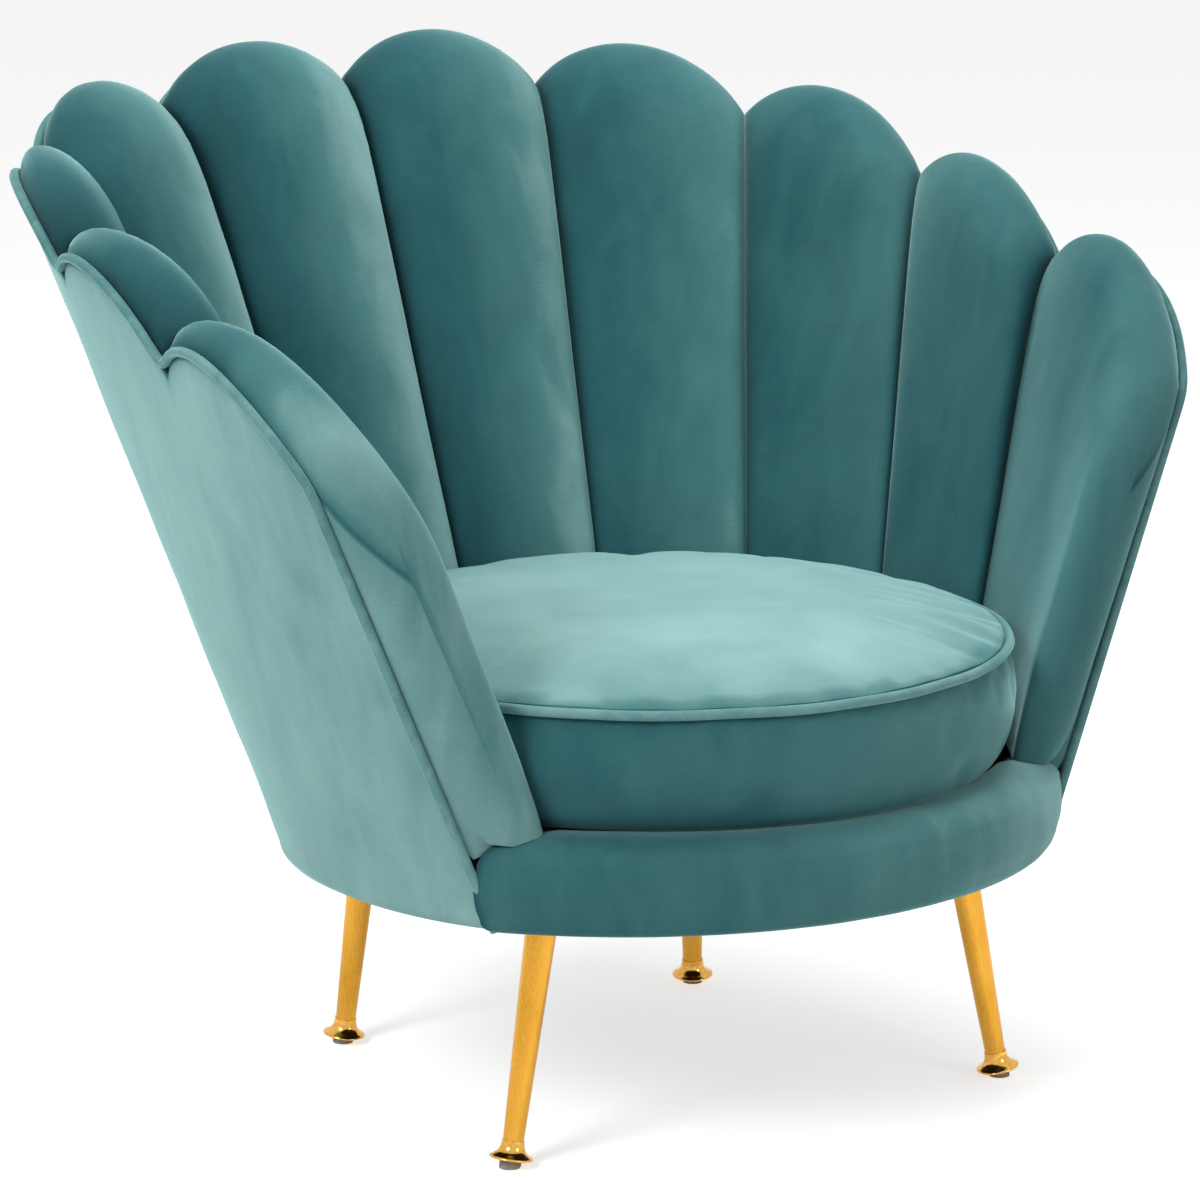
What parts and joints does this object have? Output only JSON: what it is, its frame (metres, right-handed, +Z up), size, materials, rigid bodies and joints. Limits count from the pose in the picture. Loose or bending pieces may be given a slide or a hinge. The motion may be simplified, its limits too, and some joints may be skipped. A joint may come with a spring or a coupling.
{
  "type": "upholstered armchair",
  "caption": "Barrel armchair with a flared, scalloped back of padded upright channels, a loose round seat cushion and slim splayed metal legs.",
  "frame": {"origin": "on the floor, under the middle of the chair's overall box", "axes": "+Z up, +Y towards the back of the chair, +X across its width towards the sitter's left hand"},
  "size_m": [0.9366, 0.9002, 0.8535],
  "materials": {
    "velvet": "short pile velvet",
    "piping": "velvet covered cord",
    "plywood": "sanded, unfinished",
    "fibreboard": "plain",
    "dust_cloth": "non-woven",
    "webbing": "elastic weave",
    "felt": "needled felt",
    "foam": "open cell foam",
    "brushed_gold": "brushed, plated",
    "polished_gold": "polished, plated",
    "glide_plastic": "moulded",
    "steel": "zinc plated"
  },
  "bodies": {
    "chair": {"channel_01": "velvet", "channel_02": "velvet", "channel_03": "velvet", "channel_04": "velvet", "channel_05": "velvet", "channel_06": "velvet", "channel_07": "velvet", "channel_08": "velvet", "channel_09": "velvet", "channel_10": "velvet", "outer_cover": "velvet", "inner_shell_board": "fibreboard", "back_rib_1": "plywood", "back_rib_2": "plywood", "back_rib_3": "plywood", "back_rib_4": "plywood", "back_rib_5": "plywood", "back_rib_6": "plywood", "back_rib_7": "plywood", "back_rib_8": "plywood", "back_rib_9": "plywood", "mid_hoop": "plywood", "arm_post_left": "plywood", "arm_post_right": "plywood", "seat_hoop": "plywood", "front_rail": "plywood", "front_border": "velvet", "base_board": "plywood", "corner_blocks": "plywood", "dust_cover": "dust_cloth", "webbing_lengthwise": "webbing", "webbing_crosswise": "webbing", "deck_pad": "felt", "outline_piping": "piping", "leg_front_left": "brushed_gold", "leg_front_right": "brushed_gold", "leg_back_left": "brushed_gold", "leg_back_right": "brushed_gold", "foot_discs": "polished_gold", "glides": "glide_plastic", "leg_studs": "steel", "leg_nuts": "steel"},
    "seat_cushion": {"cushion_cover": "velvet", "cushion_foam": "foam", "cushion_piping": "piping"}
  },
  "joints": [
    {"name": "cushion_lift", "type": "slide", "parent": "chair", "child": "seat_cushion", "axis": [0, 0, 1], "range_m": [0, 0.58]}
  ]
}
